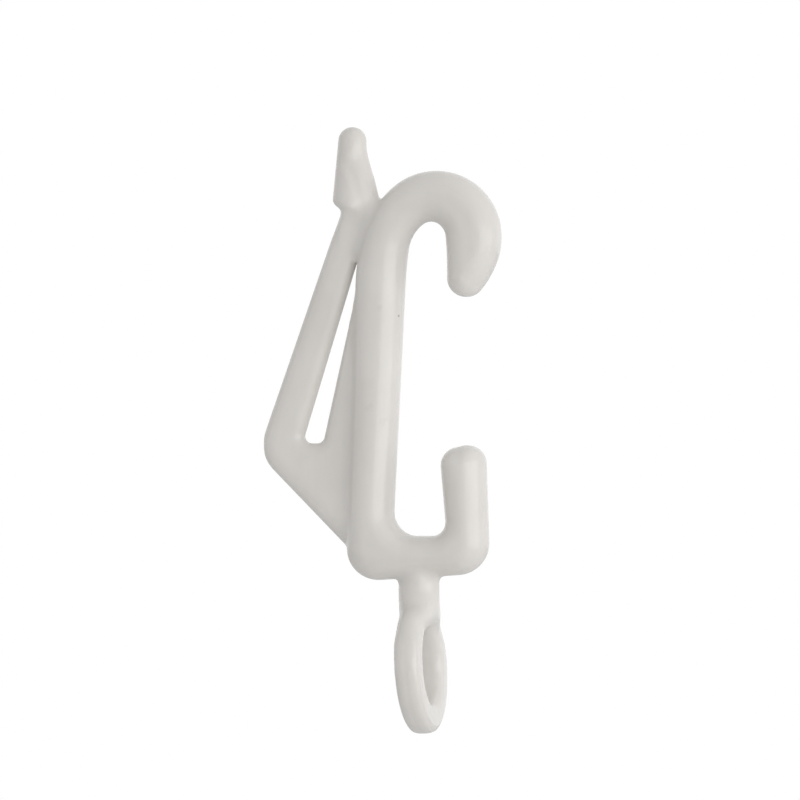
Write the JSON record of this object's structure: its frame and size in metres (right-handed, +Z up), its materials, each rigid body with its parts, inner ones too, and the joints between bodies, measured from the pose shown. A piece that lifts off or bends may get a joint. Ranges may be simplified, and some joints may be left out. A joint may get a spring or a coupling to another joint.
{
  "type": "curtain track glider",
  "caption": "Moulded plastic glider that clips over a curtain rail, with a sprung barbed finger behind and a small eye below for the curtain hook.",
  "frame": {"origin": "the point under the arch of the hook where the glider rests on the rail, in its plane of symmetry", "axes": "+Z up as it hangs, +X toward the open mouth of the hook and along the hole of the eye, +Y along the rail"},
  "size_m": [0.0192, 0.0108, 0.0482],
  "materials": {
    "moulding": "satin, off-white"
  },
  "bodies": {
    "root": {"glider": "moulding"}
  },
  "joints": []
}
